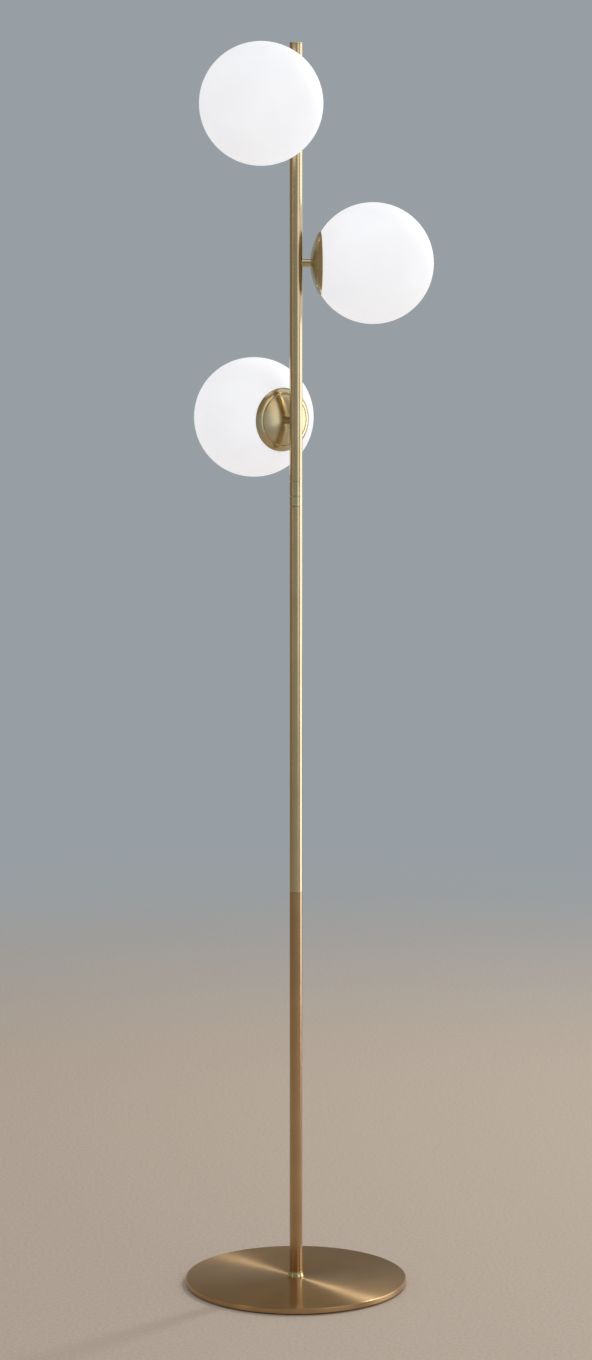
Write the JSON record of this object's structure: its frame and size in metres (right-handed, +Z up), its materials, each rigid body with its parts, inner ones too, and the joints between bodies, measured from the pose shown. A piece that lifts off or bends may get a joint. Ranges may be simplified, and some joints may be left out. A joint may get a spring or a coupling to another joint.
{
  "type": "globe floor lamp",
  "caption": "Slim brass pole on a round weighted base, carrying opal globes on short side arms that climb the pole like stairs.",
  "frame": {"origin": "middle of the underside, on the pole's axis", "axes": "+Z up along the pole; the middle arm points along +X"},
  "size_m": [0.3076, 0.3148, 1.5465],
  "materials": {
    "felt_pad": "dull black foam rubber",
    "base_brass": "steel plate, spun-brushed and brass plated",
    "pole_brass": "steel tube, satin brass plated",
    "cap_brass": "spun brass, satin, lacquered",
    "turned_brass": "turned brass, satin, lacquered",
    "zinc_steel": "zinc plated",
    "black_rubber": "moulded",
    "cable_sheath": "extruded sheath",
    "wire_sheath": "extruded silicone",
    "connector_plastic": "moulded",
    "sleeve_aluminium": "turned",
    "ceramic": "glazed steatite",
    "bulb_plastic": "moulded",
    "pin_steel": "nickel plated",
    "bulb_glass": "frosted",
    "opal_glass": "blown opal, glossy"
  },
  "bodies": {
    "stand": {"base_pad": "felt_pad", "base_plate": "base_brass", "base_washer": "zinc_steel", "base_nut": "zinc_steel", "base_stud": "zinc_steel", "foot_plug": "zinc_steel", "foot_collar": "turned_brass", "lower_pole": "pole_brass", "pole_joiner": "zinc_steel", "middle_pole": "pole_brass", "stem_bush": "zinc_steel", "swivel_stem": "zinc_steel", "cable_grommet": "black_rubber", "supply_cable": "cable_sheath"},
    "lock_ring": {"lock_ring": "turned_brass"},
    "head": {"head_socket": "turned_brass", "upper_pole": "pole_brass", "top_plug": "turned_brass", "wire_connector": "connector_plastic", "lamp_wire_low": "wire_sheath", "arm_tube_low": "turned_brass", "cap_spacer_low": "zinc_steel", "arm_nut_low": "zinc_steel", "cap_low": "cap_brass", "holder_sleeve_low": "sleeve_aluminium", "lampholder_low": "ceramic", "holder_screws_low": "zinc_steel", "lamp_wire_middle": "wire_sheath", "arm_tube_middle": "turned_brass", "cap_spacer_middle": "zinc_steel", "arm_nut_middle": "zinc_steel", "cap_middle": "cap_brass", "holder_sleeve_middle": "sleeve_aluminium", "lampholder_middle": "ceramic", "holder_screws_middle": "zinc_steel", "lamp_wire_top": "wire_sheath", "arm_tube_top": "turned_brass", "cap_spacer_top": "zinc_steel", "arm_nut_top": "zinc_steel", "cap_top": "cap_brass", "holder_sleeve_top": "sleeve_aluminium", "lampholder_top": "ceramic", "holder_screws_top": "zinc_steel"},
    "globe_low": {"globe_low": "opal_glass", "globe_ring_low": "sleeve_aluminium"},
    "bulb_low": {"bulb_base_low": "bulb_plastic", "bulb_pins_low": "pin_steel", "bulb_glass_low": "bulb_glass"},
    "globe_middle": {"globe_middle": "opal_glass", "globe_ring_middle": "sleeve_aluminium"},
    "bulb_middle": {"bulb_base_middle": "bulb_plastic", "bulb_pins_middle": "pin_steel", "bulb_glass_middle": "bulb_glass"},
    "globe_top": {"globe_top": "opal_glass", "globe_ring_top": "sleeve_aluminium"},
    "bulb_top": {"bulb_base_top": "bulb_plastic", "bulb_pins_top": "pin_steel", "bulb_glass_top": "bulb_glass"}
  },
  "joints": [
    {"name": "lock_ring_turn", "type": "hinge", "parent": "stand", "child": "lock_ring", "pos_m": [0, 0, 0.982], "axis": [0, 0, 1], "range_deg": [0, 90]},
    {"name": "head_turn", "type": "hinge", "parent": "stand", "child": "head", "pos_m": [0, 0, 1.0065], "axis": [0, 0, 1], "range_deg": [-170, 170]},
    {"name": "globe_low_off", "type": "slide", "parent": "head", "child": "globe_low", "axis": [-0.5, 0.866, 0], "range_m": [0, 0.09]},
    {"name": "bulb_low_out", "type": "slide", "parent": "head", "child": "bulb_low", "axis": [-0.5, 0.866, 0], "range_m": [0, 0.02]},
    {"name": "globe_middle_off", "type": "slide", "parent": "head", "child": "globe_middle", "axis": [1, 0, 0], "range_m": [0, 0.09]},
    {"name": "bulb_middle_out", "type": "slide", "parent": "head", "child": "bulb_middle", "axis": [1, 0, 0], "range_m": [0, 0.02]},
    {"name": "globe_top_off", "type": "slide", "parent": "head", "child": "globe_top", "axis": [-0.5, -0.866, 0], "range_m": [0, 0.09]},
    {"name": "bulb_top_out", "type": "slide", "parent": "head", "child": "bulb_top", "axis": [-0.5, -0.866, 0], "range_m": [0, 0.02]}
  ]
}
